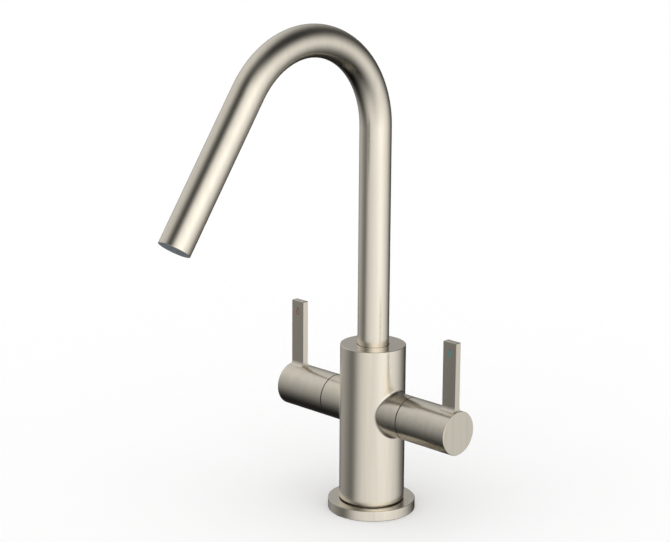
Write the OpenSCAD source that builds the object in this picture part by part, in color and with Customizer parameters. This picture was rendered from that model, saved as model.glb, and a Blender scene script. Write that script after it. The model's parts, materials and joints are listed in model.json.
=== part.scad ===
// Gooseneck bar tap with two quarter-turn levers on level arms.
// Millimetres. The origin is the middle of the base's underside, on the deck.
// +Z is up, the spout reaches toward -Y, hot is on -X and cold on +X.
// The solids are drawn with the levers upright (shut) and the spout forward.

/* [Base] */
// Diameter of the round base that stands on the deck
base_d = 67; // [62:0.5:80]
// Height of the base's flange
base_h = 8; // [7:0.5:14]
// Height of the boss inside the barrel, above the flange
boss_h = 12; // [10:0.5:16]
// Diameter of the hole in the deck that the hoses and the stud pass through
deck_hole_d = 35; // [34:0.5:38]
// Thickness of the sealing ring under the flange
gasket_t = 2; // [1.5:0.1:3]
// Width of the sealing ring
gasket_w = 6; // [4:0.5:7]
// Distance of the sealing ring from the edge of the deck hole
gasket_margin = 4; // [2:0.5:4]
// Free height between the boss and the roof of the barrel's recess
roof_gap = 2; // [1:0.5:3]
// Rounding of the flange's rims
base_edge = 0.4; // [0.2:0.1:1]

/* [Barrel] */
// Diameter of the barrel
barrel_d = 50; // [48:0.5:56]
// Height of the barrel's flat top above the deck
barrel_top = 131; // [126:0.5:150]
// Open joint between the flange and the barrel's lower rim
barrel_gap = 1; // [0.5:0.1:2]
// Wall of the barrel round the base's boss
barrel_wall = 5; // [4:0.25:6]
// Rounding of the barrel's rims
barrel_edge = 0.5; // [0.2:0.1:1.5]

/* [Arms] */
// Diameter of the arms and of the turning hubs
arm_d = 33.5; // [32:0.5:38]
// Height of the arms' axis above the deck
arm_height = 80.5; // [76:0.5:81]
// Distance of the joint between arm and hub from the barrel's axis
arm_seam = 39.5; // [38:0.5:46]
// Width of the open joint between arm and hub
seam_gap = 0.5; // [0.3:0.1:1]
// Radius of the fillet between barrel and arm
arm_fillet = 3; // [2:0.25:5]
// Length of a hub along the arm
hub_length = 48; // [46:0.5:60]
// Wall of the hub's hollow skirt
hub_wall = 3.5; // [3:0.1:3.8]
// Rounding of the hub's outer rim
hub_edge = 0.4; // [0.2:0.1:1.5]

/* [Levers] */
// Width of a lever blade along the arm
lever_width = 12.5; // [9:0.5:14]
// Thickness of a lever blade
lever_thickness = 5; // [4:0.25:7]
// Reach of a lever blade from the arm's axis
lever_reach = 69; // [50:0.5:90]
// Distance of the blade's outer side from the hub's end
lever_inset = 1.7; // [1:0.1:5]
// Radius of the fillets at the blade's foot
lever_foot_r = 4; // [2:0.25:6]
// Rounding of the blade's top edges along the arm
lever_edge = 0.5; // [0.2:0.1:1]
// Rounding of the blade's two top corners
lever_corner = 0.9; // [0.6:0.1:2]

/* [Spout] */
// Outside diameter of the spout tube
spout_d = 24; // [22:0.5:26]
// Wall of the spout tube
spout_wall = 1.5; // [1:0.1:2]
// Height of the bend's centre above the deck
bend_height = 297.5; // [220:0.5:340]
// Radius of the bend along the tube's centreline
bend_r = 70; // [45:0.5:90]
// Lean of the outlet leg from the vertical
leg_angle = 34.5; // [10:0.5:60]
// Length of the straight outlet leg
leg_length = 121.5; // [60:0.5:160]

/* [Swivel joint] */
// Depth of the spout's socket in the top of the barrel
socket_depth = 35; // [34:0.5:36.5]
// Open joint between the tube and the socket
spout_gap = 0.4; // [0.3:0.05:0.6]
// Thickness of the washer that the spout turns on
washer_t = 1.5; // [1:0.1:2]
// Bore of the spigot inside the tube
spigot_bore_d = 15; // [12:0.5:16]
// Width of the lands beside the spigot's grooves
spigot_land = 1.6; // [1.2:0.1:2]
// Length of the spigot's plug inside the tube
plug_length = 14; // [8:0.5:20]
// Thickness of the two large sealing rings
seal_ring_t = 2.4; // [2:0.1:2.6]
// Depth of the grooves of the large sealing rings
seal_groove_depth = 1.9; // [1.6:0.1:2.1]
// Height of the two split bearing rings
slip_ring_h = 2.8; // [2:0.1:3]
// Depth of the bearing rings' grooves
slip_groove_depth = 1.3; // [0.8:0.1:1.8]
// Width of the slit in a bearing ring
slip_slit = 2; // [1:0.5:4]
// Depth of the groove that the spout's retaining screw runs in
stay_groove_depth = 2; // [1.5:0.1:2.5]
// Width of that groove
stay_groove_w = 3; // [2.8:0.1:3.4]
// Diameter of the mixing well under the spout
well_d = 18; // [16:0.5:19]
// Depth of the mixing well
well_depth = 8; // [7:0.5:9]
// Depth in the well at which the axes of the cored ways come in
way_drop = 2.5; // [1:0.5:3]

/* [Waterways] */
// Distance between the hot and the cold inlet
inlet_spacing = 15; // [14.5:0.5:18]
// Distance of the inlets in front of the barrel's axis
inlet_forward = 3.5; // [2.5:0.5:4]
// Tapping diameter of the inlet threads, M10 x 1
inlet_thread_d = 9; // [8.8:0.1:9.2]
// Length of the inlet threads
inlet_thread_length = 12; // [8:0.5:16]
// Diameter of the ways from the inlets to the valves
way_d = 8; // [6:0.5:8.5]
// Diameter of the cored ways from the valves to the mixing well
outlet_way_d = 6; // [4:0.5:6.5]
// Distance of the cored way's end from the valve's seat
outlet_lead = 3; // [2:0.25:4]
// Wall between an inlet way and the valve's bore
seat_wall = 2.5; // [2:0.25:4]
// Radius of the hose tails' passage through the base
hose_r = 7; // [6.5:0.25:7.5]

/* [Fixings] */
// Tapping diameter of the fixing stud's thread, M8
stud_d = 6.8; // [6.6:0.1:7]
// Depth of the fixing stud's hole
stud_depth = 16; // [10:0.5:17]
// Distance of the fixing stud behind the barrel's axis
stud_back = 11; // [10.5:0.25:12]
// Diameter of the grub screws' holes
grub_hole_d = 5; // [4.5:0.1:5.5]
// Height of the locking screw above the flange
lock_height = 4.7; // [4:0.1:6]
// Direction of the locking screw, round the barrel from +X toward the back
lock_angle = 45; // [20:5:160]
// Depth of the locking screw's head below the barrel's surface
lock_inset = 0.8; // [0.2:0.1:2]
// Depth of the groove in the boss that the locking screw seats in
lock_groove_depth = 1.2; // [0.8:0.1:2]
// Length of the hub's grub screw
hub_grub_length = 8; // [5:0.5:9]
// Length of the spout's retaining screw without its tip
stay_grub_length = 8; // [5:0.5:9]
// Distance of the retaining screw's threaded end from the socket
stay_inset = 0.6; // [0.3:0.1:1]
// Width across the flats of the grub screws' sockets
hex_key = 2.5; // [2:0.1:2.6]
// Depth of the grub screws' sockets
hex_key_depth = 2.5; // [1.5:0.1:2.6]

/* [Valves] */
// Turn of a lever from shut to open
turn_angle = 90; // [80:5:100]
// Bore for the valve in the arm
valve_bore_d = 21; // [20.5:0.1:21.4]
// Outside diameter of the housing round the discs
case_d = 17.6; // [17.2:0.1:18]
// Diameter of the ceramic discs
disc_d = 14.4; // [13.5:0.1:14.8]
// Thickness of each ceramic disc
disc_t = 3.5; // [3:0.1:4]
// Thickness of the rubber seat seal
seal_t = 3; // [2.5:0.1:3.5]
// Height of the seat seal's lip in front of the housing
seal_lip = 1; // [0.6:0.1:1.4]
// Distance of the seat seal's bore from the edge of the inlet way
seal_step = 0.8; // [0.3:0.1:1.2]
// Thickness of the spindle's driving disc
driver_t = 3; // [2.5:0.1:3.5]
// Width of the driving tongue
tongue_w = 3; // [2:0.1:4]
// Height of the driving tongue
tongue_h = 1.5; // [1:0.1:2]
// Distance of the tongue's ends from the edge of the driving disc
tongue_inset = 1; // [0.5:0.1:2]
// Opening angle of the discs' ports
port_angle = 76; // [50:2:80]
// Radius of the bridge between the ports
port_inner_r = 1.8; // [1.5:0.1:2.5]
// Wall outside the fixed disc's ports
port_rim = 1.6; // [1.2:0.1:2.2]
// Length of the outlet windows in the housing
window_length = 5.5; // [4:0.25:6.2]
// Width of the outlet windows
window_w = 9; // [6:0.5:10]
// Distance of the windows from the face between the discs
window_lead = 0.5; // [0.3:0.1:0.8]
// Length of the housing's thread in the arm
thread_length = 9; // [7:0.25:10]
// Width of the land before the first ring grooves in the thread's length
ring_land = 1; // [0.8:0.1:1.2]
// Thickness of the housing's sealing ring
housing_ring_t = 1.9; // [1.7:0.1:2]
// Depth of the housing ring's groove
housing_groove_depth = 1.6; // [1.4:0.1:1.7]
// Height of the housing's hexagon
hexagon_h = 4.5; // [3:0.25:6]
// Distance of the hexagon's corners from the hub's wall
hexagon_gap = 0.6; // [0.3:0.1:1.5]
// Length of the housing's neck inside the hub
neck_length = 9.5; // [9:0.25:12]
// Diameter of the neck
neck_d = 16.4; // [15:0.1:17.4]
// Length of the plastic ring that guides the hub
guide_length = 5.5; // [4:0.25:6]
// Distance of the guide ring from the hexagon
guide_lead = 1.5; // [0.5:0.25:2.5]
// Wall round the stop pocket in the neck's end
stop_rim = 1.8; // [1.2:0.1:2]
// Depth of the stop pocket in the neck's end
stop_depth = 2.5; // [2:0.1:3]
// Angle that the spindle's stop lug fills
lug_angle = 30; // [20:2:40]
// Clearance over and round the stop lug
lug_gap = 0.3; // [0.2:0.05:0.4]
// Diameter of the spindle's stem
stem_d = 9; // [8.4:0.1:9.6]
// Thickness of the stem's sealing rings
stem_ring_t = 1.5; // [1.3:0.05:1.6]
// Depth of the stem rings' grooves
stem_groove_depth = 1.3; // [1.1:0.05:1.3]
// Distance between the stem's two sealing rings
stem_ring_spacing = 4.5; // [3:0.25:4.5]
// Thickness of the retaining clip
clip_t = 0.9; // [0.7:0.1:1.2]
// Height of the clip's rim above the stem
clip_rim = 1.9; // [1.2:0.1:2.4]
// Depth of the clip's groove
clip_groove_depth = 0.8; // [0.5:0.1:1]
// Mouth of the clip as a share of its bore
clip_mouth = 0.8; // [0.6:0.05:0.9]
// Distance from the clip to the splined end
spline_lead = 1.2; // [1:0.1:2]
// Diameter of the splined end
spline_d = 8; // [7.5:0.1:8.4]
// Depth of a spline tooth
spline_depth = 0.5; // [0.3:0.05:0.6]
// Number of spline teeth
spline_teeth = 20; // [16:2:24]
// Length of the splined end in the hub
spline_length = 11; // [9:0.5:13]
// Free depth beyond the splined end in the hub
spline_relief = 1; // [0.5:0.1:2]

/* [Aerator] */
// Depth of the aerator's bush in the outlet
bush_length = 14; // [12:0.5:20]
// Wall of that bush
bush_wall = 1.1; // [0.8:0.1:1.4]
// Height of the lip that holds the washer
bush_lip = 2; // [1:0.1:3]
// Width of that lip
lip_w = 1.8; // [1:0.1:2.5]
// Thickness of the aerator's washer
aerator_washer_t = 1.5; // [1:0.1:2]
// Wall of the aerator's housing
aerator_wall = 0.8; // [0.6:0.1:1.2]
// Thickness of the perforated outlet grid
grid_t = 2.5; // [1.5:0.1:4]
// Diameter of the holes in the outlet grid
grid_hole_d = 1.5; // [1:0.05:1.6]
// Distance between the holes of the outlet grid
grid_pitch = 1.9; // [1.8:0.05:2.4]
// Rim round the holes of the outlet grid and the screen
grid_rim = 0.3; // [0.2:0.05:0.5]
// Thickness of the filter screen
screen_t = 0.6; // [0.4:0.1:1]
// Distance of the filter screen above the outlet grid
screen_gap = 5; // [3:0.5:6]
// Wall of the screen's skirt
screen_rim = 1; // [0.6:0.1:1.4]
// Diameter of the screen's holes
screen_hole_d = 0.9; // [0.6:0.1:1.2]
// Distance between the screen's holes
screen_pitch = 1.9; // [1.6:0.1:2.4]
// Depth of the key slots in the aerator's housing
key_slot_depth = 1.2; // [0.8:0.1:2]
// Width of the key slots
key_slot_w = 2; // [1:0.1:3]

/* [Fits] */
// Clearance all round a sliding or turning fit
running_gap = 0.1; // [0.05:0.01:0.1]
// Clearance between parts that are screwed or pressed together
close_gap = 0.05; // [0.03:0.01:0.1]
// Clearance between the lapped faces of the ceramic discs
lap_gap = 0.02; // [0.01:0.01:0.05]
// Extra width of a groove beside the ring in it
groove_play = 0.2; // [0.1:0.05:0.3]
// Clearance of the retaining screw's tip in its groove
stay_gap = 0.3; // [0.2:0.05:0.5]
// Turn beyond each end at which the levers' stop acts
stop_slack = 1.5; // [1:0.5:3]

/* [Hidden] */
$fn = 96;
cut = 1;                                   // how far a cutting solid runs past a face
hot = -1;                                  // side of the hot arm along X
cold = 1;                                  // side of the cold arm along X
bend_overlap = 1;                          // how far the bend's two stretches overlap

nickel = [0.80, 0.76, 0.70];
brass = [0.78, 0.62, 0.33];
steel = [0.70, 0.70, 0.72];
ceramic = [0.93, 0.92, 0.88];
rubber = [0.12, 0.12, 0.13];
plastic = [0.90, 0.90, 0.86];
grey = [0.45, 0.48, 0.50];

base_r = base_d / 2;
barrel_r = barrel_d / 2;
arm_r = arm_d / 2;
spout_r = spout_d / 2;
spout_bore_r = spout_r - spout_wall;
bend_angle = 180 - leg_angle;

// Base: the barrel stands on a low land and is centred on a boss inside it.
barrel_z = base_h + barrel_gap;
recess_r = barrel_r - barrel_wall;
boss_r = recess_r - running_gap;
boss_top = base_h + boss_h;
land_r = barrel_r - barrel_wall / 2;
port_z = boss_top + roof_gap;
lock_z = base_h + lock_height;
gasket_r = deck_hole_d / 2 + gasket_margin;
inlet_x = inlet_spacing / 2;

// Swivel joint, from the socket's floor upward.
socket_r = spout_r + spout_gap;
socket_z = barrel_top - socket_depth;
well_z = socket_z - well_depth;
spigot_z = socket_z + washer_t + running_gap;
seal_groove_w = seal_ring_t + groove_play;
slip_groove_w = slip_ring_h + groove_play;
slip_z1 = spigot_z + spigot_land;
ring_z1 = slip_z1 + slip_groove_w + spigot_land;
ring_z2 = ring_z1 + seal_groove_w + spigot_land;
stay_z = ring_z2 + seal_groove_w + spigot_land + stay_groove_w / 2;
slip_z2 = stay_z + stay_groove_w / 2 + spigot_land;
shoulder_z = slip_z2 + slip_groove_w + spigot_land;

// Valve, measured outward from the barrel's axis along the arm.
seat_x = inlet_x + way_d / 2 + seat_wall;
stub_x = arm_seam - seam_gap / 2;
hub_x = arm_seam + seam_gap / 2;
hub_end = hub_x + hub_length - seam_gap / 2;
case_x = seat_x + seal_lip;
fixed_x = seat_x + seal_t;
moving_x = fixed_x + disc_t + lap_gap;
driver_x = moving_x + disc_t;
chamber_end = driver_x + driver_t + running_gap;
thread_x = stub_x - thread_length;
hexagon_end = stub_x + hexagon_h;
neck_end = hexagon_end + neck_length;
clip_x = neck_end + running_gap;
spline_x = clip_x + clip_t + spline_lead;
hub_floor = spline_x + running_gap;
spline_end = spline_x + spline_length;
spline_floor = spline_end + spline_relief;
grub_x = spline_x + spline_length / 2;
valve_bore_r = valve_bore_d / 2;
hub_bore_r = arm_r - hub_wall;
chamber_r = disc_d / 2 + running_gap;
stem_r = stem_d / 2;
stem_bore_r = stem_r + running_gap;
ring_x = thread_x + ring_land;
stem_groove_w = stem_ring_t + groove_play;
housing_groove_w = housing_ring_t + groove_play;
housing_groove_r = valve_bore_r - housing_groove_depth;
guide_x = hexagon_end + guide_lead;
stop_r = neck_d / 2 - stop_rim;
lug_r = stop_r - lug_gap;
clip_r = stem_r + clip_rim;
clip_groove_r = stem_r - clip_groove_depth;
grub_r = grub_hole_d / 2 - running_gap;

// Aerator, measured inward from the tube's end.
bush_r = spout_bore_r - close_gap;
bush_bore_r = bush_r - bush_wall;
housing_r = bush_bore_r - close_gap;
housing_depth = bush_length - bush_lip - aerator_washer_t;
insert_r = housing_r - aerator_wall - close_gap;

// ---- Shared shapes ----

// Half of a turned bar's section from height a to height b, with rounded rims.
module eased_section(r, a, b, ease_a, ease_b) {
    difference() {
        translate([0, a]) square([r, b - a]);
        if (ease_a > 0) rim_cut(r, a, ease_a, -1);
        if (ease_b > 0) rim_cut(r, b, ease_b, 1);
    }
}

// What a rounding of radius e takes off a corner that looks outward and up or down.
module rim_cut(r, z, e, side) {
    difference() {
        translate([r - e, side > 0 ? z - e : z - cut]) square([e + cut, e + cut]);
        translate([r - e, z - side * e]) circle(e);
    }
}

module eased_bar(r, a, b, ease_a, ease_b) {
    rotate_extrude() eased_section(r, a, b, ease_a, ease_b);
}

module tube(outer, inner, a, b) {
    translate([0, 0, a]) linear_extrude(b - a) difference() {
        circle(outer);
        circle(inner);
    }
}

module bar(r, a, b) {
    translate([0, 0, a]) cylinder(r = r, h = b - a);
}

// A pie slice of radius r, up to half a circle.
module slice(r, from, to) {
    middle = (from + to) / 2;
    far = 3 * r;
    intersection() {
        circle(r);
        polygon([[0, 0], far * [cos(from), sin(from)], far * [cos(middle), sin(middle)],
            far * [cos(to), sin(to)]]);
    }
}

// A rubber ring squeezed between a groove's floor and the wall of a bore.
module squeezed_ring(floor_r, wall_r, thickness, a) {
    rotate_extrude() intersection() {
        translate([(floor_r + wall_r) / 2, a + thickness / 2]) circle(thickness / 2);
        translate([floor_r, a]) square([wall_r - floor_r, thickness]);
    }
}

// A split ring with a slit toward -X.
module split_ring(outer, inner, a, b, slit) {
    difference() {
        tube(outer, inner, a, b);
        translate([-outer - cut, -slit / 2, a - cut]) cube([outer, slit, b - a + 2 * cut]);
    }
}

// Along an arm: local z runs outward, local x to the back and local y up.
module on_arm(side) {
    mirror([side < 0 ? 1 : 0, 0, 0]) translate([0, 0, arm_height]) rotate([90, 0, 90]) children();
}

// At the bend's centre: local y points to the bend's end and local z along the outlet leg.
module at_bend_end() {
    translate([0, -bend_r, bend_height]) rotate([bend_angle, 0, 0]) children();
}

// At the spout's end: local z leaves the outlet, and 0 is the tube's end face.
module at_outlet() {
    at_bend_end() translate([0, bend_r, leg_length]) children();
}

// A grub screw from the tip at r = tip to the socket at r = head, along local z.
module grub_screw(tip, head) {
    difference() {
        bar(grub_r, tip, head);
        translate([0, 0, head - hex_key_depth])
            cylinder(d = hex_key / cos(30), h = hex_key_depth + cut, $fn = 6);
    }
}

// ---- Barrel ----

// Rolling-ball fillet between the barrel and an arm. For each direction round the arm, the
// ball's centre keeps arm_fillet from both cylinders, and the skin is the ball's arc between
// its two contacts. The ends of each arc are sunk a little into the metal.
fillet_turns = 72;
fillet_steps = 6;
fillet_sink = 0.06;
fillet_root = 2.5;
fillet_ring = fillet_steps + 2;

function ball_centre(t) =
    let (y = (arm_r + arm_fillet) * sin(t), z = (arm_r + arm_fillet) * cos(t))
    [sqrt(pow(barrel_r + arm_fillet, 2) - y * y), y, z];
function on_barrel(c) = let (s = (barrel_r - fillet_sink) / (barrel_r + arm_fillet))
    [c.x * s, c.y * s, c.z];
function on_stub(c) = let (s = (arm_r - fillet_sink) / (arm_r + arm_fillet))
    [c.x, c.y * s, c.z * s];
function on_ball(c, f) =
    let (a = -[c.x, c.y, 0] / (barrel_r + arm_fillet), b = -[0, c.y, c.z] / (arm_r + arm_fillet))
    let (w = acos(a * b))
    c + arm_fillet * (sin((1 - f) * w) * a + sin(f * w) * b) / sin(w);
function fillet_heart(c) =
    let (s = (arm_r - fillet_root) / (arm_r + arm_fillet), y = c.y * s)
    [sqrt(pow(barrel_r - fillet_root, 2) - y * y), y, c.z * s];
function fillet_section(t) = let (c = ball_centre(t))
    [on_barrel(c), for (i = [1:fillet_steps - 1]) on_ball(c, i / fillet_steps), on_stub(c),
        fillet_heart(c)];

module arm_fillet_ring() {
    points = [for (i = [0:fillet_turns - 1]) each fillet_section(i * 360 / fillet_turns)];
    function at(i, j) = (i % fillet_turns) * fillet_ring + j % fillet_ring;
    faces = [for (i = [0:fillet_turns - 1]) for (j = [0:fillet_ring - 1])
        each [[at(i, j), at(i + 1, j + 1), at(i, j + 1)],
            [at(i, j), at(i + 1, j), at(i + 1, j + 1)]]];
    polyhedron(points, faces);
}

module barrel_blank() {
    eased_bar(barrel_r, barrel_z, barrel_top, barrel_edge, barrel_edge);
    for (side = [hot, cold]) {
        on_arm(side) eased_bar(arm_r, 0, stub_x, 0, seam_gap / 2);
        mirror([side < 0 ? 1 : 0, 0, 0]) translate([0, 0, arm_height]) arm_fillet_ring();
    }
}

// From the inlet thread up, across to the valve's seat, and from the valve to the well.
module waterways(side) {
    well_x = well_d / 4;
    valve_x = seat_x + outlet_lead;
    valve_y = valve_bore_r - outlet_way_d / 2;
    rise = socket_z - way_drop - arm_height - valve_y;
    translate([side * inlet_x, -inlet_forward, 0]) {
        bar(inlet_thread_d / 2, port_z - cut, port_z + inlet_thread_length);
        bar(way_d / 2, port_z, arm_height + way_d / 2);
    }
    on_arm(side) {
        bar(way_d / 2, inlet_x - way_d / 4, seat_x + cut);
        bar(valve_bore_r, seat_x, stub_x + cut);
        translate([0, valve_y, valve_x])
            rotate([-atan2(rise, valve_x - well_x), 0, 0]) mirror([0, 0, 1])
                cylinder(d = outlet_way_d, h = norm([rise, valve_x - well_x]));
    }
}

module barrel() color(nickel) difference() {
    barrel_blank();
    bar(recess_r, barrel_z - cut, port_z);
    bar(socket_r, socket_z, barrel_top + cut);
    bar(well_d / 2, well_z, socket_z + cut);
    waterways(hot);
    waterways(cold);
    translate([0, 0, lock_z]) rotate([90, 0, lock_angle + 90])
        bar(grub_hole_d / 2, recess_r - cut, barrel_r + cut);
    translate([0, 0, stay_z]) rotate([90, 0, 180])
        bar(grub_hole_d / 2, socket_r - cut, barrel_r + cut);
}

// ---- Base ----

module hose_passage() {
    for (x = [-inlet_x, inlet_x])
        translate([x, -inlet_forward, -cut]) cylinder(r = hose_r, h = boss_top + 2 * cut);
    translate([-inlet_x, -inlet_forward - hose_r, -cut])
        cube([inlet_spacing, 2 * hose_r, boss_top + 2 * cut]);
}

// The groove's flanks slope at 45 degrees, so the screw's cone pulls the barrel down.
module lock_groove() {
    rotate_extrude() polygon([[boss_r - lock_groove_depth, lock_z],
        [boss_r + cut, lock_z - lock_groove_depth - cut],
        [boss_r + cut, lock_z + lock_groove_depth + cut]]);
}

module base_flange() color(nickel) difference() {
    union() {
        eased_bar(base_r, 0, base_h, base_edge, base_edge);
        bar(land_r, base_h - cut, barrel_z);
        bar(boss_r, base_h - cut, boss_top);
    }
    hose_passage();
    lock_groove();
    tube(gasket_r + gasket_w, gasket_r, -cut, gasket_t);
    translate([0, stud_back, 0]) bar(stud_d / 2, -cut, stud_depth);
}

module base_gasket() color(rubber)
    tube(gasket_r + gasket_w - close_gap, gasket_r + close_gap, 0, gasket_t);

module base_locking_screw() {
    tip = boss_r - lock_groove_depth + close_gap * sqrt(2);
    color(steel) translate([0, 0, lock_z]) rotate([90, 0, lock_angle + 90]) {
        grub_screw(tip + grub_r, barrel_r - lock_inset);
        translate([0, 0, tip]) cylinder(r1 = 0, r2 = grub_r, h = grub_r);
    }
}

// ---- Swivel joint ----

module spout_retaining_screw() {
    root = spout_r - stay_groove_depth + stay_gap;
    tip_r = stay_groove_w / 2 - stay_gap;
    foot = socket_r + stay_inset;
    color(steel) translate([0, 0, stay_z]) rotate([90, 0, 180]) {
        grub_screw(foot, foot + stay_grub_length);
        bar(tip_r, root, foot + cut);
    }
}

module spout_thrust_washer() color(plastic)
    tube(socket_r - running_gap, well_d / 2, socket_z, socket_z + washer_t);

module spout_spigot() color(brass) difference() {
    union() {
        bar(spout_r, spigot_z, shoulder_z);
        bar(spout_bore_r - close_gap, shoulder_z - cut, shoulder_z + plug_length);
    }
    bar(spigot_bore_d / 2, spigot_z - cut, shoulder_z + plug_length + cut);
    for (z = [ring_z1, ring_z2])
        tube(spout_r + cut, spout_r - seal_groove_depth, z, z + seal_groove_w);
    for (z = [slip_z1, slip_z2])
        tube(spout_r + cut, spout_r - slip_groove_depth, z, z + slip_groove_w);
    tube(spout_r + cut, spout_r - stay_groove_depth,
        stay_z - stay_groove_w / 2, stay_z + stay_groove_w / 2);
}

module spout_seal_rings() color(rubber) for (z = [ring_z1, ring_z2])
    squeezed_ring(spout_r - seal_groove_depth, socket_r - running_gap, seal_ring_t,
        z + groove_play / 2);

module spout_slip_rings() color(plastic) for (z = [slip_z1, slip_z2])
    split_ring(socket_r - running_gap, spout_r - slip_groove_depth + close_gap,
        z + groove_play / 2, z + groove_play / 2 + slip_ring_h, slip_slit);

// ---- Spout ----

module tube_section() {
    difference() {
        circle(spout_r);
        circle(spout_bore_r);
    }
}

// The bend is two stretches of one ring that overlap in the middle, so each meets its own
// straight length face to face.
module bend(from, to) {
    rotate([90, 0, 90]) rotate_extrude(angle = to - from, start = from)
        translate([bend_r, 0]) tube_section();
}

module spout_tube() color(nickel) {
    translate([0, 0, shoulder_z]) linear_extrude(bend_height - shoulder_z) tube_section();
    translate([0, -bend_r, bend_height]) bend(0, bend_angle / 2 + bend_overlap);
    at_bend_end() bend(-bend_angle / 2 - bend_overlap, 0);
    at_bend_end() translate([0, bend_r, 0]) linear_extrude(leg_length) tube_section();
}

// ---- Aerator ----

// Round holes on a triangular pattern that fill a disc of radius r.
module grid_holes(r, hole_d, pitch, a, b) {
    reach = r - hole_d / 2 - grid_rim;
    rings = ceil(reach / pitch / sin(60));
    for (i = [-rings:rings]) for (j = [-rings:rings])
        let (place = pitch * [i + j / 2, j * sin(60)])
            if (norm(place) <= reach) translate([place.x, place.y, 0]) bar(hole_d / 2, a, b);
}

module aerator_bush() color(brass) at_outlet() {
    tube(bush_r, bush_bore_r, -bush_length, 0);
    tube(bush_bore_r + bush_wall / 2, bush_bore_r - lip_w, -bush_length, bush_lip - bush_length);
}

module aerator_washer() color(rubber) at_outlet()
    tube(bush_bore_r - running_gap, bush_bore_r - lip_w, bush_lip - bush_length,
        bush_lip - bush_length + aerator_washer_t);

module aerator_housing() color(grey) at_outlet() difference() {
    tube(housing_r, housing_r - aerator_wall, -housing_depth, 0);
    for (a = [0, 90]) rotate([0, 0, a])
        translate([-housing_r - cut, -key_slot_w / 2, -key_slot_depth])
            cube([2 * (housing_r + cut), key_slot_w, key_slot_depth + cut]);
}

module aerator_grid() color(grey) at_outlet() difference() {
    bar(insert_r, -grid_t - key_slot_depth, -key_slot_depth);
    grid_holes(insert_r, grid_hole_d, grid_pitch,
        -grid_t - key_slot_depth - cut, cut - key_slot_depth);
}

module aerator_screen() color(steel) at_outlet() {
    level = -grid_t - key_slot_depth - screen_gap;
    tube(insert_r, insert_r - screen_rim, level, -grid_t - key_slot_depth);
    difference() {
        bar(insert_r - screen_rim / 2, level, level + screen_t);
        grid_holes(insert_r - screen_rim, screen_hole_d, screen_pitch,
            level - cut, level + screen_t + cut);
    }
}

// ---- Valves ----

// Brass headwork: a case round the discs, a thread in the arm, a hexagon on the arm's end
// and a neck inside the hub, with a pocket that stops the spindle at both ends of its turn.
module valve_housing(side) color(brass) on_arm(side) difference() {
    union() {
        bar(case_d / 2, case_x, thread_x + cut);
        bar(valve_bore_r - close_gap, thread_x, stub_x);
        translate([0, 0, stub_x])
            cylinder(r = hub_bore_r - hexagon_gap, h = hexagon_h, $fn = 6);
        bar(neck_d / 2, hexagon_end - cut, neck_end);
    }
    bar(chamber_r, case_x - cut, chamber_end);
    bar(stem_bore_r, chamber_end - cut, neck_end + cut);
    tube(valve_bore_r + cut, housing_groove_r, ring_x, ring_x + housing_groove_w);
    translate([-window_w / 2, -case_d, moving_x + window_lead])
        cube([window_w, 2 * case_d, window_length]);
    translate([0, 0, neck_end - stop_depth]) linear_extrude(stop_depth + cut)
        slice(stop_r, -turn_angle / 2 - lug_angle / 2 - stop_slack,
            turn_angle / 2 + lug_angle / 2 + stop_slack);
}

module housing_seal(side) color(rubber) on_arm(side)
    squeezed_ring(housing_groove_r, valve_bore_r - close_gap, housing_ring_t, ring_x + groove_play / 2);

module seat_seal(side) color(rubber) on_arm(side)
    tube(chamber_r - running_gap, way_d / 2 + seal_step, seat_x, fixed_x);

module guide_ring(side) color(plastic) on_arm(side)
    tube(hub_bore_r - running_gap, neck_d / 2 + close_gap, guide_x, guide_x + guide_length);

// Two ports above and below the middle let water through the fixed disc.
module fixed_disc(side) color(ceramic) on_arm(side)
    translate([0, 0, fixed_x]) linear_extrude(disc_t) difference() {
        circle(disc_d / 2);
        for (a = [90, 270]) difference() {
            slice(disc_d / 2 - port_rim, a - port_angle / 2, a + port_angle / 2);
            circle(port_inner_r);
        }
    }

// Two notches at front and back, shut while the wings cover the fixed disc's ports.
module moving_disc(side) color(ceramic) on_arm(side) difference() {
    translate([0, 0, moving_x]) linear_extrude(disc_t) difference() {
        circle(disc_d / 2);
        for (a = [0, 180]) difference() {
            slice(disc_d, a - port_angle / 2, a + port_angle / 2);
            circle(port_inner_r);
        }
    }
    translate([-tongue_w / 2 - close_gap, -disc_d, driver_x - tongue_h - close_gap])
        cube([tongue_w + 2 * close_gap, 2 * disc_d, tongue_h + cut]);
}

module spline(r, a, b) {
    translate([0, 0, a]) linear_extrude(b - a)
        polygon([for (i = [0:2 * spline_teeth - 1]) let (t = i * 180 / spline_teeth)
            (r - (i % 2) * spline_depth) * [cos(t), sin(t)]]);
}

module spindle(side) color(brass) on_arm(side) {
    tongue_l = disc_d - 2 * tongue_inset;
    difference() {
        union() {
            bar(disc_d / 2, driver_x, driver_x + driver_t);
            translate([-tongue_w / 2, -tongue_l / 2, driver_x - tongue_h])
                cube([tongue_w, tongue_l, tongue_h + cut]);
            bar(stem_r, driver_x + driver_t - cut, spline_x);
            bar(spline_d / 2 - spline_depth, spline_x - cut, spline_x + cut);
        }
        for (x = [ring_x, ring_x + stem_ring_spacing])
            tube(stem_r + cut, stem_r - stem_groove_depth, x, x + stem_groove_w);
        tube(stem_r + cut, clip_groove_r, clip_x, clip_x + clip_t + close_gap);
    }
    spline(spline_d / 2, spline_x, spline_end);
    translate([0, 0, neck_end - stop_depth + lug_gap])
        linear_extrude(stop_depth - 2 * lug_gap) difference() {
            slice(lug_r, -turn_angle / 2 - lug_angle / 2, -turn_angle / 2 + lug_angle / 2);
            circle(stem_r / 2);
        }
}

module stem_seals(side) color(rubber) on_arm(side) for (x = [ring_x, ring_x + stem_ring_spacing])
    squeezed_ring(stem_r - stem_groove_depth, stem_bore_r - close_gap, stem_ring_t,
        x + groove_play / 2);

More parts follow.
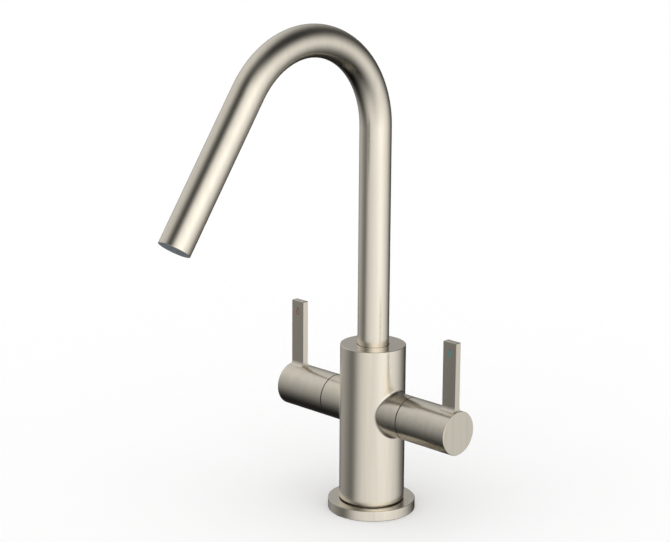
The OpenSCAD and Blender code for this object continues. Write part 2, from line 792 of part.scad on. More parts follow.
module retaining_clip(side) color(steel) on_arm(side)
    split_ring(clip_r, clip_groove_r + close_gap, clip_x, clip_x + clip_t,
        2 * clip_groove_r * clip_mouth);

// ---- Levers ----

// Side view of the blade: it stands on the hub with a concave fillet on each face.
module blade_side() {
    half = lever_thickness / 2;
    foot_x = half + lever_foot_r;
    foot_y = sqrt(pow(arm_r + lever_foot_r, 2) - foot_x * foot_x);
    touch = arm_r / (arm_r + lever_foot_r);
    difference() {
        polygon([[0, 0], touch * [foot_x, foot_y], [half, foot_y], [half, lever_reach],
            [-half, lever_reach], [-half, foot_y], touch * [-foot_x, foot_y]]);
        for (s = [-1, 1]) translate([s * foot_x, foot_y]) circle(lever_foot_r);
        for (s = [-1, 1]) difference() {
            translate([s > 0 ? half - lever_edge : -half - cut, lever_reach - lever_edge])
                square([lever_edge + cut, lever_edge + cut]);
            translate([s * (half - lever_edge), lever_reach - lever_edge]) circle(lever_edge);
        }
    }
}

// Front view of the blade, from the arm's axis up, with two rounded top corners.
module blade_front() {
    difference() {
        square([lever_width, lever_reach]);
        for (x = [0, lever_width]) difference() {
            translate([x > 0 ? x - lever_corner : -cut, lever_reach - lever_corner])
                square([lever_corner + cut, lever_corner + cut]);
            translate([x > 0 ? x - lever_corner : lever_corner, lever_reach - lever_corner])
                circle(lever_corner);
        }
    }
}

module lever(side) color(nickel) on_arm(side) difference() {
    union() {
        eased_bar(arm_r, hub_x, hub_end, seam_gap / 2, hub_edge);
        intersection() {
            translate([0, 0, hub_end - lever_inset - lever_width])
                linear_extrude(lever_width) blade_side();
            translate([-arm_r, 0, hub_end - lever_inset]) rotate([0, 90, 0])
                linear_extrude(2 * arm_r) blade_front();
        }
    }
    bar(hub_bore_r, hub_x - cut, hub_floor);
    spline(spline_d / 2 + close_gap, hub_x, spline_floor);
    translate([0, 0, grub_x]) rotate([90, 0, 0]) bar(grub_hole_d / 2, 0, arm_r + cut);
}

module lever_screw(side) {
    foot = spline_d / 2 + running_gap;
    color(steel) on_arm(side) translate([0, 0, grub_x]) rotate([90, 0, 0])
        grub_screw(foot, foot + hub_grub_length);
}

// ---- Drawing ----

barrel();
base_flange();
base_gasket();
base_locking_screw();
spout_retaining_screw();
spout_thrust_washer();
valve_housing(hot);  // hot_valve_housing
seat_seal(hot);  // hot_seat_seal
fixed_disc(hot);  // hot_fixed_disc
housing_seal(hot);  // hot_housing_seal
guide_ring(hot);  // hot_guide_ring
valve_housing(cold);  // cold_valve_housing
seat_seal(cold);  // cold_seat_seal
fixed_disc(cold);  // cold_fixed_disc
housing_seal(cold);  // cold_housing_seal
guide_ring(cold);  // cold_guide_ring
spout_tube();
spout_spigot();
spout_seal_rings();
spout_slip_rings();
aerator_bush();
aerator_washer();
aerator_housing();
aerator_grid();
aerator_screen();
lever(hot);  // hot_lever
spindle(hot);  // hot_spindle
moving_disc(hot);  // hot_moving_disc
stem_seals(hot);  // hot_stem_seals
retaining_clip(hot);  // hot_retaining_clip
lever_screw(hot);  // hot_lever_screw
lever(cold);  // cold_lever
spindle(cold);  // cold_spindle
moving_disc(cold);  // cold_moving_disc
stem_seals(cold);  // cold_stem_seals
retaining_clip(cold);  // cold_retaining_clip
lever_screw(cold);  // cold_lever_screw
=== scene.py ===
"""Looks of the gooseneck bar tap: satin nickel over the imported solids, the small pieces that the
solids lack, a pale floor and a soft studio."""

import json
from math import cos, exp, pi, radians, sin

import bmesh
import bpy
from mathutils import Matrix, Vector


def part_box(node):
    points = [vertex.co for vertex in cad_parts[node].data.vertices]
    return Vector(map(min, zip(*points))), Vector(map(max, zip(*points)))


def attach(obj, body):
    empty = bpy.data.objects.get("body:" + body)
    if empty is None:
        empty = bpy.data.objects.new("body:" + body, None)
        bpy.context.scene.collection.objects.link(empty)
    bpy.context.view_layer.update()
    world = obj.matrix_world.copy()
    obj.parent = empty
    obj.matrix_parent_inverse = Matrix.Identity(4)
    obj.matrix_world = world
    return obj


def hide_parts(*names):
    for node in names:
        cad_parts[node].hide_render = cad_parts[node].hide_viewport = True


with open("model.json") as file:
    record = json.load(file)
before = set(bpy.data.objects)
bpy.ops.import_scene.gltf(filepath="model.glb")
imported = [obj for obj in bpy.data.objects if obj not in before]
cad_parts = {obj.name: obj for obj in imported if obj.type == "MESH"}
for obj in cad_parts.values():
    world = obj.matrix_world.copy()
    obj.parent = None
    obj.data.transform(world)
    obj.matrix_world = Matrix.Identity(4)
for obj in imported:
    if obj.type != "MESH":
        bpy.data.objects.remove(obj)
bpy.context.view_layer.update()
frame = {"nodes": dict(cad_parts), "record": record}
MM = 0.001

# ---- Camera: fitted to the edges of the photograph ----

PHOTO = (670, 542)
CAMERA_AT = Vector((1.0056825, -1.0544441, 0.5607280))
YAW, PITCH, ROLL = radians(44.7951), radians(14.3685), radians(0.3779)
FOCAL_PIXELS = 2001.95
SENSOR = 36.0


def stand_camera():
    """The camera looks down by PITCH from the side that YAW gives, and leans by ROLL."""
    lens = bpy.data.cameras.new("photo_camera")
    lens.sensor_width = SENSOR
    lens.lens = FOCAL_PIXELS * SENSOR / PHOTO[0]
    lens.clip_end = 50
    camera = bpy.data.objects.new("photo_camera", lens)
    bpy.context.scene.collection.objects.link(camera)
    upright = Matrix.Rotation(YAW, 4, "Z") @ Matrix.Rotation(pi / 2 - PITCH, 4, "X")
    camera.matrix_world = Matrix.Translation(CAMERA_AT) @ upright @ Matrix.Rotation(ROLL, 4, "Z")
    bpy.context.scene.camera = camera


stand_camera()

# ---- Materials ----


def linear(colour):
    """An sRGB hex colour such as "e2d9c8" as the linear colour that the shaders take."""
    parts = [int(colour[i : i + 2], 16) / 255 for i in (0, 2, 4)]
    return [c / 12.92 if c <= 0.04045 else ((c + 0.055) / 1.055) ** 2.4 for c in parts] + [1.0]


def add(tree, kind, settings=None, **inputs):
    """Adds a node. settings are its properties, inputs its values or the sockets that feed it,
    by name or by number, such as _0."""
    made = tree.nodes.new("ShaderNode" + kind)
    for key, value in (settings or {}).items():
        setattr(made, key, value)
    for key, value in inputs.items():
        where = int(key[1:]) if key[0] == "_" else key.replace("_", " ")
        socket = made.inputs[where]
        if isinstance(value, bpy.types.NodeSocket):
            tree.links.new(value, socket)
        else:
            socket.default_value = value
    return made


def start(name, **constant):
    """A material with a plain shader, whose steady values stand on the shader's own sockets."""
    made = bpy.data.materials.new(name)
    made.use_nodes = True
    tree = made.node_tree
    tree.nodes.clear()
    shader = add(tree, "BsdfPrincipled", **constant)
    add(tree, "OutputMaterial", Surface=shader.outputs["BSDF"])
    return made, tree, shader


def tint(tree, shader, light, dark, factor):
    """The base colour runs between two close tones with a pattern."""
    mix = add(tree, "Mix", {"data_type": "RGBA"}, Factor=factor)
    mix.inputs["A"].default_value = linear(light)
    mix.inputs["B"].default_value = linear(dark)
    tree.links.new(mix.outputs["Result"], shader.inputs["Base Color"])


def per_metre(size_mm):
    """Scale of a pattern whose cells are size_mm wide."""
    return 1.0 / (size_mm * MM)


def satin_nickel():
    """Nickel plate over brass, brushed with a fine belt and lacquered: warm grey, a soft gloss
    that still shows what stands near it, and a faint unevenness where the belt bit more."""
    made, tree, shader = start("satin_nickel_plate", Metallic=1.0)
    place = add(tree, "TexCoord").outputs["Object"]
    # Real belt lines are 0.03 mm apart. They are drawn 0.25 mm wide and 8 mm long, upright.
    stretch = add(tree, "Mapping", Vector=place, Scale=(1.0, 1.0, 0.03))
    fine = per_metre(0.25)
    lines = add(tree, "TexNoise", Vector=stretch.outputs["Vector"], Scale=fine, Detail=3.0)
    # Broad streaks where the belt bit deeper, about 4 mm wide and 80 mm long.
    tall = add(tree, "Mapping", Vector=place, Scale=(1.0, 1.0, 0.05))
    streaks = add(tree, "TexNoise", Vector=tall.outputs["Vector"], Scale=per_metre(4.0), Detail=3.0)
    seen = add(tree, "MapRange", Value=streaks.outputs["Fac"], From_Min=0.35, From_Max=0.65)
    tint(tree, shader, "e8e1d2", "e4dccd", seen.outputs["Result"])
    rough = add(
        tree,
        "MapRange",
        Value=lines.outputs["Fac"],
        From_Min=0.3,
        From_Max=0.7,
        To_Min=0.2,
        To_Max=0.26,
    )
    tree.links.new(rough.outputs["Result"], shader.inputs["Roughness"])
    bump = add(tree, "Bump", Strength=0.03, Distance=0.02 * MM, Height=lines.outputs["Fac"])
    tree.links.new(bump.outputs["Normal"], shader.inputs["Normal"])
    return made


def turned_brass():
    """Free-cutting brass as it leaves the lathe: yellow, with the fine grain of the tool's feed."""
    made, tree, shader = start("turned_brass", Metallic=1.0)
    place = add(tree, "TexCoord").outputs["Object"]
    # Feed of 0.12 mm a turn, drawn 0.3 mm wide so that it shows.
    feed = add(tree, "TexNoise", Vector=place, Scale=per_metre(0.3), Detail=2.0)
    tint(tree, shader, "dcb66a", "c79c4d", feed.outputs["Fac"])
    rough = add(tree, "MapRange", Value=feed.outputs["Fac"], To_Min=0.24, To_Max=0.36)
    tree.links.new(rough.outputs["Result"], shader.inputs["Roughness"])
    bump = add(tree, "Bump", Strength=0.1, Distance=0.02 * MM, Height=feed.outputs["Fac"])
    tree.links.new(bump.outputs["Normal"], shader.inputs["Normal"])
    return made


def stainless():
    """Stainless steel screws, clips and woven screen: cool grey and slightly tumbled."""
    made, tree, shader = start("tumbled_stainless_steel", Metallic=1.0)
    place = add(tree, "TexCoord").outputs["Object"]
    grain = add(tree, "TexNoise", Vector=place, Scale=per_metre(0.4), Detail=3.0)
    tint(tree, shader, "c9cacb", "b3b5b8", grain.outputs["Fac"])
    rough = add(tree, "MapRange", Value=grain.outputs["Fac"], To_Min=0.26, To_Max=0.4)
    tree.links.new(rough.outputs["Result"], shader.inputs["Roughness"])
    return made


def lapped_ceramic():
    """Alumina ceramic lapped flat: off-white, hard and glossy, with a fine speckle."""
    made, tree, shader = start("lapped_alumina_ceramic", IOR=1.76)
    place = add(tree, "TexCoord").outputs["Object"]
    speckle = add(tree, "TexNoise", Vector=place, Scale=per_metre(0.5), Detail=4.0)
    tint(tree, shader, "f3f0e6", "e6e2d6", speckle.outputs["Fac"])
    rough = add(tree, "MapRange", Value=speckle.outputs["Fac"], To_Min=0.12, To_Max=0.2)
    tree.links.new(rough.outputs["Result"], shader.inputs["Roughness"])
    return made


def moulded_rubber():
    """Moulded EPDM rubber: near black and dull, with a slight bloom."""
    made, tree, shader = start("moulded_epdm_rubber", IOR=1.52)
    place = add(tree, "TexCoord").outputs["Object"]
    bloom = add(tree, "TexNoise", Vector=place, Scale=per_metre(1.2), Detail=3.0)
    tint(tree, shader, "26262a", "323236", bloom.outputs["Fac"])
    rough = add(tree, "MapRange", Value=bloom.outputs["Fac"], To_Min=0.55, To_Max=0.75)
    tree.links.new(rough.outputs["Result"], shader.inputs["Roughness"])
    return made


def bare_bore():
    """Cast and drilled brass inside the tap, never polished or plated: dark, rough and stained
    by water. The broken edges of the seam between arm and hub, outside faces, take this dark
    finish too, so that the seam shows as a dark line."""
    made, tree, shader = start("unpolished_brass_bore", Metallic=1.0)
    place = add(tree, "TexCoord").outputs["Object"]
    # Stains and tool marks about 1.5 mm across.
    stain = add(tree, "TexNoise", Vector=place, Scale=per_metre(1.5), Detail=4.0)
    tint(tree, shader, "57524a", "3b3833", stain.outputs["Fac"])
    rough = add(tree, "MapRange", Value=stain.outputs["Fac"], To_Min=0.5, To_Max=0.7)
    tree.links.new(rough.outputs["Result"], shader.inputs["Roughness"])
    return made


def acetal(name, light, dark):
    """Moulded acetal: a waxy plastic with a low sheen and a fine spark-eroded texture."""
    made, tree, shader = start(name, IOR=1.48)
    place = add(tree, "TexCoord").outputs["Object"]
    # Texture of the mould, 0.15 mm, drawn 0.35 mm wide so that it shows.
    texture = add(tree, "TexNoise", Vector=place, Scale=per_metre(0.35), Detail=3.0)
    tint(tree, shader, light, dark, texture.outputs["Fac"])
    rough = add(tree, "MapRange", Value=texture.outputs["Fac"], To_Min=0.38, To_Max=0.52)
    tree.links.new(rough.outputs["Result"], shader.inputs["Roughness"])
    bump = add(tree, "Bump", Strength=0.15, Distance=0.03 * MM, Height=texture.outputs["Fac"])
    tree.links.new(bump.outputs["Normal"], shader.inputs["Normal"])
    return made


def enamel(name, light, dark):
    """Fired enamel ink in a hair line: strong colour, glossy, slightly uneven in thickness."""
    made, tree, shader = start(name, IOR=1.5)
    place = add(tree, "TexCoord").outputs["Object"]
    pool = add(tree, "TexNoise", Vector=place, Scale=per_metre(0.8), Detail=2.0)
    tint(tree, shader, light, dark, pool.outputs["Fac"])
    rough = add(tree, "MapRange", Value=pool.outputs["Fac"], To_Min=0.2, To_Max=0.32)
    tree.links.new(rough.outputs["Result"], shader.inputs["Roughness"])
    return made


FINISHES = {
    "nickel": satin_nickel(),
    "brass": turned_brass(),
    "steel": stainless(),
    "ceramic": lapped_ceramic(),
    "rubber": moulded_rubber(),
    "plastic": acetal("white_acetal", "e9e9e0", "dedfd5"),
    "grey_plastic": acetal("grey_acetal", "858b91", "757b81"),
}
BORE = bare_bore()
RED_ENAMEL = enamel("red_enamel", "8a2c34", "74242c")
BLUE_ENAMEL = enamel("blue_enamel", "2a8f8b", "227c7a")

# ---- Carried-over CAD nodes ----

SLOT_OF = {part["node"]: part["material_slot"] for part in frame["record"]["subparts"]}
BODY_OF = {
    node: body for body, nodes in frame["record"]["behaviour"]["bodies"].items() for node in nodes
}


def dress(thing, material):
    """Gives the object this one finish."""
    thing.data.materials.clear()
    thing.data.materials.append(material)


for node_name, node_object in frame["nodes"].items():
    dress(node_object, FINISHES[SLOT_OF[node_name]])

# ---- Pieces ----

# Points nearer than this are one point.
WELD = 0.002 * MM
# Neighbouring faces that are this flat to each other become one.
FLAT = radians(0.4)


def settle(name, bm, material, slot, body, *nodes):
    """Makes the piece from its mesh with its finish, puts it under its body and hides the nodes
    it stands for.
    """
    mesh = bpy.data.meshes.new(name)
    bm.to_mesh(mesh)
    bm.free()
    made = bpy.data.objects.new(name, mesh)
    bpy.context.scene.collection.objects.link(made)
    dress(made, material)
    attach(made, body)
    if nodes:
        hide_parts(*nodes)
    return made


def shade(thing, crease=50.0):
    """Smooth shading across edges flatter than crease degrees. Large faces keep their own tilt."""
    thing.data.shade_smooth()
    bm = bmesh.new()
    bm.from_mesh(thing.data)
    for edge in bm.edges:
        edge.smooth = len(edge.link_faces) == 2 and edge.calc_face_angle(0.0) < radians(crease)
    bm.to_mesh(thing.data)
    bm.free()
    weigh = thing.modifiers.new("steady_faces", "WEIGHTED_NORMAL")
    weigh.mode = "FACE_AREA_WITH_ANGLE"
    weigh.weight = 80
    weigh.keep_sharp = True


def only(kind, geometry):
    """The points, the edges or the faces among what an operator gives back."""
    return [part for part in geometry if isinstance(part, kind)]


def smooth_copy(name, node, inside=None, cut_back=0.0):
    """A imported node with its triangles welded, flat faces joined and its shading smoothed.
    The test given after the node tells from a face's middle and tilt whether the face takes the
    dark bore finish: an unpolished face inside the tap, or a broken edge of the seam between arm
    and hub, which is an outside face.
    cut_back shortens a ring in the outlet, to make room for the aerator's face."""
    bm = bmesh.new()
    bm.from_mesh(frame["nodes"][node].data)
    bmesh.ops.remove_doubles(bm, verts=bm.verts, dist=WELD)
    if cut_back:
        everything = bm.verts[:] + bm.edges[:] + bm.faces[:]
        level = OUTLET - OUT * cut_back
        cut = bmesh.ops.bisect_plane(
            bm, geom=everything, plane_co=level, plane_no=OUT, clear_outer=True
        )
        bmesh.ops.bridge_loops(bm, edges=only(bmesh.types.BMEdge, cut["geom_cut"]))
    bmesh.ops.recalc_face_normals(bm, faces=bm.faces[:])
    bmesh.ops.dissolve_limit(
        bm, angle_limit=FLAT, use_dissolve_boundaries=False, verts=bm.verts, edges=bm.edges
    )
    made = settle(name, bm, FINISHES[SLOT_OF[node]], SLOT_OF[node], BODY_OF[node], node)
    if inside:
        made.data.materials.append(BORE)
        for face in made.data.polygons:
            face.material_index = int(inside(face.center, face.normal))
    shade(made)
    return made


def pull(bm, faces, way, go_on=False):
    """Extrudes faces and moves the new ones by way. go_on carries a wall on, so that the old
    faces don't stay behind inside it."""
    made = bmesh.ops.extrude_face_region(bm, geom=faces)["geom"]
    if go_on:
        bmesh.ops.delete(bm, geom=faces, context="FACES")
    bmesh.ops.translate(bm, verts=only(bmesh.types.BMVert, made), vec=way)
    return only(bmesh.types.BMFace, made)


TUBE_LOW, TUBE_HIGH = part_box("spout_tube")
TUBE_R = (TUBE_HIGH.x - TUBE_LOW.x) / 2
TUBE_WALL = 1.5 * MM
PIPE_SEGMENTS = 128
BEND_STEPS = 96
# At the mouth only a thin skin of the tube goes on, round the aerator's face, with some play.
MOUTH_WALL = 0.6 * MM
MOUTH_DEPTH = 1.2 * MM
MOUTH_PLAY = 0.05 * MM
BEND_R = 70 * MM
BEND_Z = TUBE_HIGH.z - BEND_R - TUBE_R
LEG_LENGTH = 121.5 * MM
BEND_ANGLE = radians(145.5)
LIP_ROUND = 0.2 * MM
OUT = Vector((0, -sin(BEND_ANGLE), cos(BEND_ANGLE)))
BEND_END = Vector((0, -BEND_R * (1 - cos(BEND_ANGLE)), BEND_Z + BEND_R * sin(BEND_ANGLE)))
OUTLET = BEND_END + OUT * LEG_LENGTH


def spout_pipe():
    """The tube's ring section is drawn up, spun round the bend and drawn down the leg. At the
    mouth only its outer skin goes on, round the aerator's face."""
    bm = bmesh.new()
    rims = []
    for radius in (TUBE_R, TUBE_R - MOUTH_WALL, TUBE_R - TUBE_WALL):
        rim = bmesh.ops.create_circle(bm, segments=PIPE_SEGMENTS, radius=radius)["verts"]
        rims.append({edge for v in rim for edge in v.link_edges})
    ring = []
    for outer, inner in zip(rims, rims[1:]):
        ring += bmesh.ops.bridge_loops(bm, edges=list(outer | inner))["faces"]
    bmesh.ops.translate(bm, verts=bm.verts[:], vec=(0, 0, TUBE_LOW.z))
    start_of_bend = pull(bm, ring, (0, 0, BEND_Z - TUBE_LOW.z))
    turned = bmesh.ops.spin(
        bm,
        geom=start_of_bend,
        cent=(0, -BEND_R, BEND_Z),
        axis=(1, 0, 0),
        angle=BEND_ANGLE,
        steps=BEND_STEPS,
    )["geom_last"]
    bmesh.ops.delete(bm, geom=start_of_bend, context="FACES")
    end_of_bend = only(bmesh.types.BMFace, turned)
    end = pull(bm, end_of_bend, OUT * (LEG_LENGTH - MOUTH_DEPTH), go_on=True)
    mouth = OUTLET - OUT * MOUTH_DEPTH
    skin = [f for f in end if (f.calc_center_median() - mouth).length > TUBE_R - MOUTH_WALL]
    end = pull(bm, skin, OUT * MOUTH_DEPTH, go_on=True)
    rim = {e for f in end for e in f.edges if any(other not in end for other in e.link_faces)}
    bmesh.ops.bevel(
        bm, geom=list(rim), offset=LIP_ROUND, segments=4, profile=0.5, affect="EDGES", material=-1
    )
    bmesh.ops.recalc_face_normals(bm, faces=bm.faces[:])
    made = settle("spout_pipe", bm, FINISHES["nickel"], "nickel", "spout", "spout_tube")
    shade(made)


ARM_Z = 80.5 * MM
ARM_R = 16.75 * MM
BARREL_R = 25 * MM
# The base's land, on which the barrel stands, and the widest radius of the ways through the base.
LAND_Z = 9 * MM
PASSAGE_R = 20 * MM
# What lies less deep than this has the outer finish.
SKIN = 0.6 * MM
# What is this near a level still lies on it.
TOUCH = 0.1 * MM
BARREL_LOW, BARREL_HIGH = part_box("barrel")
HUB_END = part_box("cold_lever")[1].x
SEAM_X = BARREL_HIGH.x
# The lean from which a face counts as the broken edge of the seam between arm and hub. These
# outside edges take the dark bore finish, so that the seam shows as a dark line.
BROKEN_EDGE = 0.3


def off_arm(spot):
    """Distance from the arms' axis."""
    return (spot.y**2 + (spot.z - ARM_Z) ** 2) ** 0.5


def dark_in_barrel(spot, tilt):
    """The recess, the socket, the ways, the valve bores and the arms' ends, all inside the tap, and
    the broken edge of the seam at each arm's end, an outside face that takes the dark finish too.
    """
    if abs(spot.x) > BARREL_R:
        at_seam = abs(spot.x) > SEAM_X - SKIN and abs(tilt.x) > BROKEN_EDGE
        return at_seam or off_arm(spot) < ARM_R - SKIN / 2
    if spot.z > BARREL_HIGH.z - TOUCH:
        return False
    if spot.z < BARREL_LOW.z + TOUCH:
        return tilt.z < -0.9
    return spot.xy.length < BARREL_R - SKIN


def dark_in_hub(spot, tilt):
    """The hub's hollow skirt, its splines and the end toward the arm, all inside the tap, and the
    broken edge of that end at the seam, an outside face that takes the dark finish too.
    """
    if abs(spot.x) < SEAM_X + 2 * SKIN and abs(tilt.x) > BROKEN_EDGE:
        return True
    return abs(spot.x) < HUB_END - SKIN and off_arm(spot) < ARM_R - SKIN / 2


def in_base(spot, tilt):
    """The boss in the barrel, the hose passage and the underside. The narrow land is plated."""
    upright = abs(tilt.z) < 0.5
    in_passage = upright and spot.xy.length < PASSAGE_R
    return spot.z > LAND_Z + TOUCH or spot.z < TOUCH or in_passage


spout_pipe()
smooth_copy("barrel_with_arms", "barrel", dark_in_barrel)
smooth_copy("base_disc", "base_flange", in_base)
smooth_copy("hot_hub_and_blade", "hot_lever", dark_in_hub)
smooth_copy("cold_hub_and_blade", "cold_lever", dark_in_hub)
smooth_copy("outlet_bush", "aerator_bush", cut_back=MOUTH_DEPTH + MOUTH_PLAY)
smooth_copy("outlet_housing", "aerator_housing", cut_back=MOUTH_DEPTH + MOUTH_PLAY)

GRID_PITCH = 1.15 * MM
GRID_WEB = 0.4 * MM
GRID_LEVEL = 0.3 * MM
GRID_DEPTH = 0.75 * MM
GRID_TURN = pi / 5
FACE_R = TUBE_R - MOUTH_WALL - MOUTH_PLAY
FACE_RIM = 0.7 * MM
FACE_CUTS = 40
RIM_LEVEL = 0.03 * MM
RIM_STEPS = 96
RIM_ROUND = 0.12 * MM
# The angle in radians from which an edge of the rim is rounded.
RIM_CORNER = 1.0


def face_outlet(bm):
    """Turns a piece drawn round the Z axis so that +Z points out of the outlet, and seats it
    there."""
    turn = Vector((0, 0, 1)).rotation_difference(OUT).to_matrix()
    bmesh.ops.rotate(bm, verts=bm.verts, cent=(0, 0, 0), matrix=turn)
    bmesh.ops.translate(bm, verts=bm.verts, vec=OUTLET)


def outlet_grid():
    """The aerator's face: a moulded lattice of square holes, cut round and drawn to its depth."""
    bm = bmesh.new()
    count = 2 * round(FACE_R / GRID_PITCH) + 1
    bmesh.ops.create_grid(bm, x_segments=count, y_segments=count, size=count * GRID_PITCH / 2)
    framed = bmesh.ops.inset_individual(bm, faces=bm.faces[:], thickness=GRID_WEB / 2)
    webs = set(framed["faces"])
    bmesh.ops.delete(bm, geom=[f for f in bm.faces if f not in webs], context="FACES")
    for step in range(FACE_CUTS):
        turn = 2 * pi * step / FACE_CUTS
        out = Vector((cos(turn), sin(turn), 0))
        everything = bm.verts[:] + bm.edges[:] + bm.faces[:]
        near = (FACE_R - FACE_RIM / 2) * out
        bmesh.ops.bisect_plane(bm, geom=everything, plane_co=near, plane_no=out, clear_outer=True)
    bmesh.ops.rotate(bm, verts=bm.verts, cent=(0, 0, 0), matrix=Matrix.Rotation(GRID_TURN, 3, "Z"))
    bmesh.ops.translate(bm, verts=bm.verts, vec=(0, 0, -GRID_LEVEL - GRID_DEPTH))
    pull(bm, bm.faces[:], (0, 0, GRID_DEPTH))
    face_outlet(bm)
    bmesh.ops.recalc_face_normals(bm, faces=bm.faces[:])
    settle("outlet_grid", bm, FINISHES["grey_plastic"], "grey_plastic", "spout", "aerator_grid")


def outlet_rim():
    """The ring round the lattice: a rounded square section spun round the outlet's axis."""
    bm = bmesh.new()
    bmesh.ops.create_grid(bm, x_segments=1, y_segments=1, size=0.5)
    bmesh.ops.scale(bm, verts=bm.verts, vec=(FACE_RIM, MOUTH_DEPTH - MOUTH_PLAY, 1))
    bmesh.ops.rotate(bm, verts=bm.verts, cent=(0, 0, 0), matrix=Matrix.Rotation(pi / 2, 3, "X"))
    middle = (FACE_R - FACE_RIM / 2, 0, -MOUTH_DEPTH / 2 - RIM_LEVEL)
    bmesh.ops.translate(bm, verts=bm.verts, vec=middle)
    section = bm.edges[:]
    bmesh.ops.delete(bm, geom=bm.faces[:], context="FACES_ONLY")
    bmesh.ops.spin(
        bm,
        geom=section,
        cent=(0, 0, 0),
        axis=(0, 0, 1),
        angle=2 * pi,
        steps=RIM_STEPS,
        use_merge=True,
    )
    bmesh.ops.remove_doubles(bm, verts=bm.verts, dist=WELD)
    face_outlet(bm)
    bmesh.ops.recalc_face_normals(bm, faces=bm.faces[:])
    corners = [e for e in bm.edges if e.calc_face_angle(0.0) > RIM_CORNER]
    bmesh.ops.bevel(
        bm, geom=corners, offset=RIM_ROUND, segments=2, profile=0.5, affect="EDGES", material=-1
    )
    made = settle("outlet_rim", bm, FINISHES["grey_plastic"], "grey_plastic", "spout")
    shade(made)


outlet_grid()
outlet_rim()

MARK_WIDTH = 3.8 * MM
MARK_HEIGHT = 6.0 * MM
MARK_LINE = 0.55 * MM
MARK_DEPTH = 0.05 * MM
MARK_SUNK = 0.01 * MM
MARK_BELOW_TOP = 9.4 * MM
MARK_SEGMENTS = 48
# How late the drop narrows on its way up to its point: 1 is evenly, 0 not at all.
MARK_TAPER = 0.35
BLADE_FRONT = -2.5 * MM
BLADE_INSET = 1.7 * MM
BLADE_WIDTH = 12.5 * MM


def drop_mark(name, node, material, body):
    """A water drop in outline on a blade's front: a disc drawn to a point at the top, inset to a
    line and raised a hair."""
    low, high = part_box(node)
    side = 1 if low.x > 0 else -1
    middle = side * (max(abs(low.x), abs(high.x)) - BLADE_INSET - BLADE_WIDTH / 2)
    bm = bmesh.new()
    bmesh.ops.create_circle(bm, cap_ends=True, segments=MARK_SEGMENTS, radius=MARK_WIDTH / 2)
    for v in bm.verts:
        if v.co.y > 0:
            rise = v.co.y / (MARK_WIDTH / 2)
            v.co.x *= max(0.0, 1 - rise) ** MARK_TAPER
            v.co.y += (MARK_HEIGHT - MARK_WIDTH) * rise**2
    disc = bm.faces[:]
    outline = bmesh.ops.inset_region(
        bm, faces=disc, thickness=MARK_LINE, use_boundary=True, use_even_offset=True
    )["faces"]
    bmesh.ops.delete(bm, geom=disc, context="FACES")
    pull(bm, outline, (0, 0, MARK_DEPTH))
    bmesh.ops.rotate(bm, verts=bm.verts, cent=(0, 0, 0), matrix=Matrix.Rotation(pi / 2, 3, "X"))
    place = (middle, BLADE_FRONT + MARK_SUNK, high.z - MARK_BELOW_TOP)
    bmesh.ops.translate(bm, verts=bm.verts, vec=place)
    bmesh.ops.recalc_face_normals(bm, faces=bm.faces[:])
    settle(name, bm, material, "nickel", body)


drop_mark("hot_drop_mark", "hot_lever", RED_ENAMEL, "hot_handle")
drop_mark("cold_drop_mark", "cold_lever", BLUE_ENAMEL, "cold_handle")

# ---- Floor and studio ----

FLOOR_R = 8.0
FLOOR_LEVEL = -0.1 * MM


def pale_floor():
    """A white sweep. It can be seen through from below, and the metal shows the studio's lights
    rather than the sweep."""
    bm = bmesh.new()
    bmesh.ops.create_circle(bm, cap_ends=True, segments=96, radius=FLOOR_R)
    bmesh.ops.translate(bm, verts=bm.verts, vec=(0, 0, FLOOR_LEVEL))
    mesh = bpy.data.meshes.new("floor")
    bm.to_mesh(mesh)
    bm.free()
    floor = bpy.data.objects.new("floor", mesh)
    bpy.context.scene.collection.objects.link(floor)
    made = bpy.data.materials.new("white_paper_sweep")
    made.use_nodes = True
    tree = made.node_tree
    tree.nodes.clear()
    paper = add(tree, "BsdfDiffuse", Color=linear("ffffff"), Roughness=0.5)
    clear = add(tree, "BsdfTransparent")
    under = add(tree, "NewGeometry").outputs["Backfacing"]
    both = add(tree, "MixShader", _0=under, _1=paper.outputs["BSDF"], _2=clear.outputs["BSDF"])
    add(tree, "OutputMaterial", Surface=both.outputs["Shader"])
    dress(floor, made)
    floor.visible_glossy = False


# What the metal sees: each soft light's direction in degrees to the right of the camera's side,
# its height in degrees, its half width in degrees and its level, where 1 is white.
SOFT_LIGHTS = {
    "large softbox, right front": (37, 10, 26, 1.73),
    "softbox over the camera": (-9, 31, 19, 3.20),
    "white card, right": (88, -10, 25, 0.64),
    "white card, low in front": (-29, -19, 32, 1.05),
    "softbox, high on the left": (-89, 54, 28, 1.33),
    "softbox, back": (-168, 30, 20, 0.45),
    "fill, left back": (-130, -3, 23, 0.63),
}
# Black flags that part the soft lights, given in the same way. The level is what they take off.
FLAGS = {
    "flag, high on the right": (97, 56, 17, 1.00),
    "flag overhead": (-31, 47, 41, 0.98),
    "flag, low on the left": (-127, -62, 28, 1.00),
    "flag, low on the right": (43, -70, 14, 0.93),
    "flag near the zenith": (54, 71, 16, 1.00),
}
# Dark gaps that run round the room between the lights: the direction square to their plane, the
# sine of their angle off that plane, their half width as a sine, and what they take off.
DARK_GAPS = {
    "gap left of the large softbox": (42, -29, -0.240, 0.227, 0.56),
}
DARKEST = 0.01


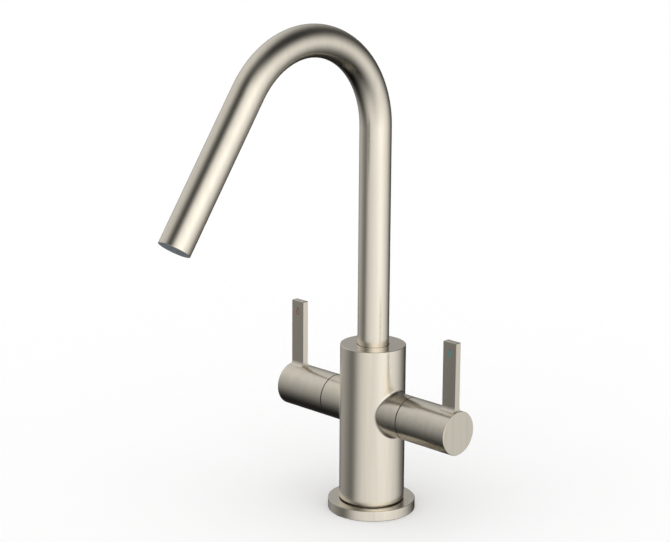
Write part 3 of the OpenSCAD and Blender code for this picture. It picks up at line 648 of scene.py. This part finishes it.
def studio():
    """The room is plain white at strength 1. In the metal it shows as the photograph has it,
    with soft lights and cards before darker walls."""
    world = bpy.data.worlds.new("studio")
    bpy.context.scene.world = world
    world.use_nodes = True
    tree = world.node_tree
    tree.nodes.clear()
    look = add(tree, "TexCoord").outputs["Generated"]
    product = {"operation": "MULTIPLY_ADD"}

    def share(right, height):
        """How far the look goes that way: 1 straight toward it, 0 square to it."""
        turn, rise = YAW - pi / 2 + radians(right), radians(height)
        toward = (cos(rise) * cos(turn), cos(rise) * sin(turn), sin(rise))
        along = add(tree, "VectorMath", {"operation": "DOT_PRODUCT"}, _0=look, _1=toward)
        return along.outputs["Value"]

    def patch(right, height, width):
        """A soft round patch in that direction: 1 in its middle, falling off over its width."""
        steep = 1 / radians(width) ** 2
        off = add(tree, "Math", product, _0=share(right, height), _1=steep, _2=-steep)
        soft = add(tree, "Math", {"operation": "EXPONENT"}, _0=off.outputs["Value"])
        return soft.outputs["Value"]

    def gap(right, height, offset, width):
        """A soft ring round that direction: 1 along its middle, falling off over its width."""
        off = add(tree, "Math", product, _0=share(right, height), _1=1 / width, _2=-offset / width)
        off = off.outputs["Value"]
        square = add(tree, "Math", {"operation": "MULTIPLY"}, _0=off, _1=off).outputs["Value"]
        soft = add(tree, "Math", {"operation": "POWER"}, _0=exp(-1), _1=square)
        return soft.outputs["Value"]

    level = DARKEST
    for *place, strength in SOFT_LIGHTS.values():
        level = add(tree, "Math", product, _0=patch(*place), _1=strength, _2=level).outputs["Value"]
    taken = [(patch(*place), strength) for *place, strength in FLAGS.values()]
    taken += [(gap(*place), strength) for *place, strength in DARK_GAPS.values()]
    for dark, strength in taken:
        left = add(tree, "Math", product, _0=dark, _1=-strength, _2=1.0).outputs["Value"]
        level = add(tree, "Math", {"operation": "MULTIPLY"}, _0=level, _1=left).outputs["Value"]
    white = add(tree, "Background", Color=(1.0, 1.0, 1.0, 1.0), Strength=1.0)
    lights = add(tree, "Background", Color=(1.0, 1.0, 1.0, 1.0), Strength=level)
    in_metal = add(tree, "LightPath").outputs["Is Glossy Ray"]
    white, lights = white.outputs["Background"], lights.outputs["Background"]
    room = add(tree, "MixShader", _0=in_metal, _1=white, _2=lights)
    add(tree, "OutputWorld", Surface=room.outputs["Shader"])


pale_floor()
studio()
bpy.context.scene.view_settings.view_transform = "Standard"
